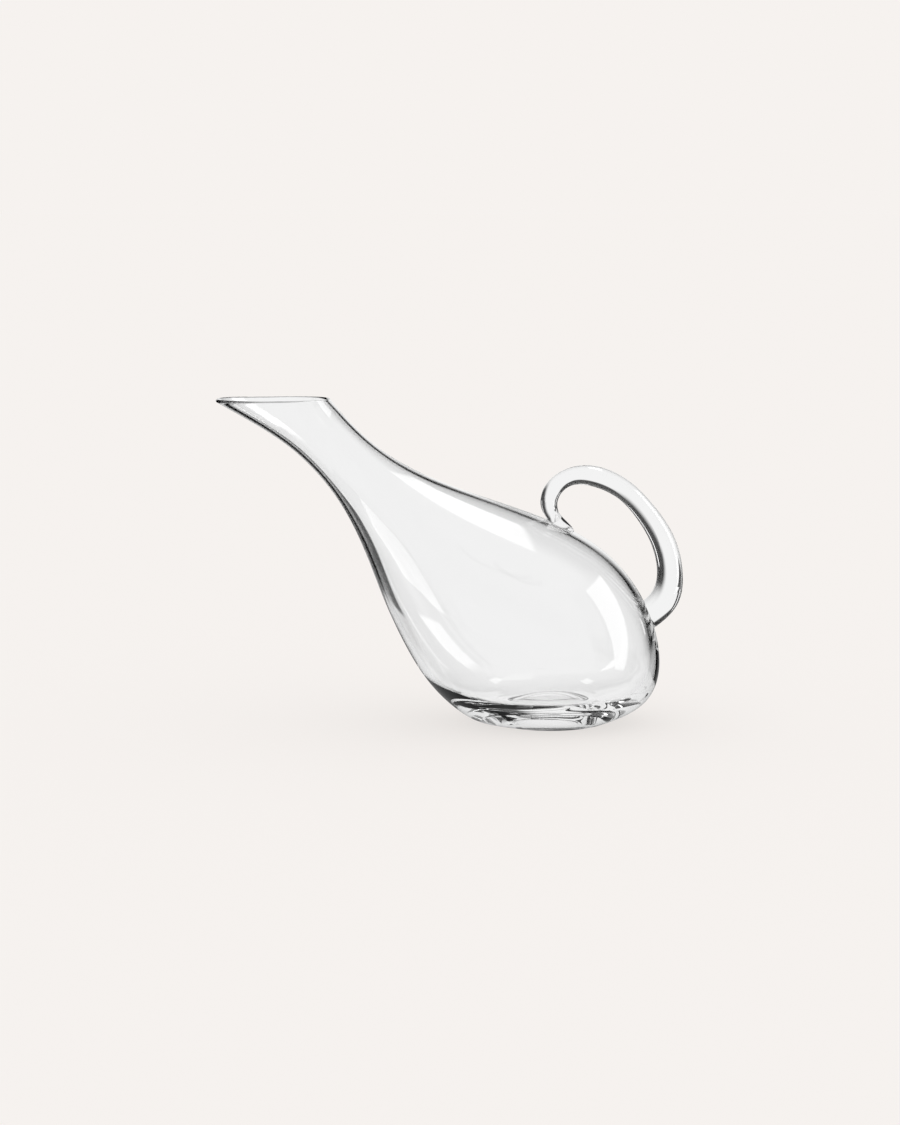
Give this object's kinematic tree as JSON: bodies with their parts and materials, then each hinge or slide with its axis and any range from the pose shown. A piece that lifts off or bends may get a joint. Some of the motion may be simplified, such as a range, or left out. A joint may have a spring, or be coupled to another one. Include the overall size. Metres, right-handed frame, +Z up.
{
  "type": "wine decanter",
  "caption": "Clear glass wine decanter: a tilted teardrop bulb on a heavy flat base, a swept neck with an oblique pouring lip, and a solid glass rod handle looped over its back.",
  "frame": {"origin": "on the table, under the middle of the decanter's length and width", "axes": "+Z up, -X towards the pouring lip, +X towards the handle, +Y across the decanter"},
  "size_m": [0.2888, 0.1334, 0.2019],
  "materials": {
    "vessel_glass": "clear blown glass, fire-polished",
    "handle_glass": "clear solid drawn glass, fire-polished"
  },
  "bodies": {
    "root": {"bowl": "vessel_glass", "shoulder": "vessel_glass", "neck": "vessel_glass", "handle": "handle_glass"}
  },
  "joints": []
}
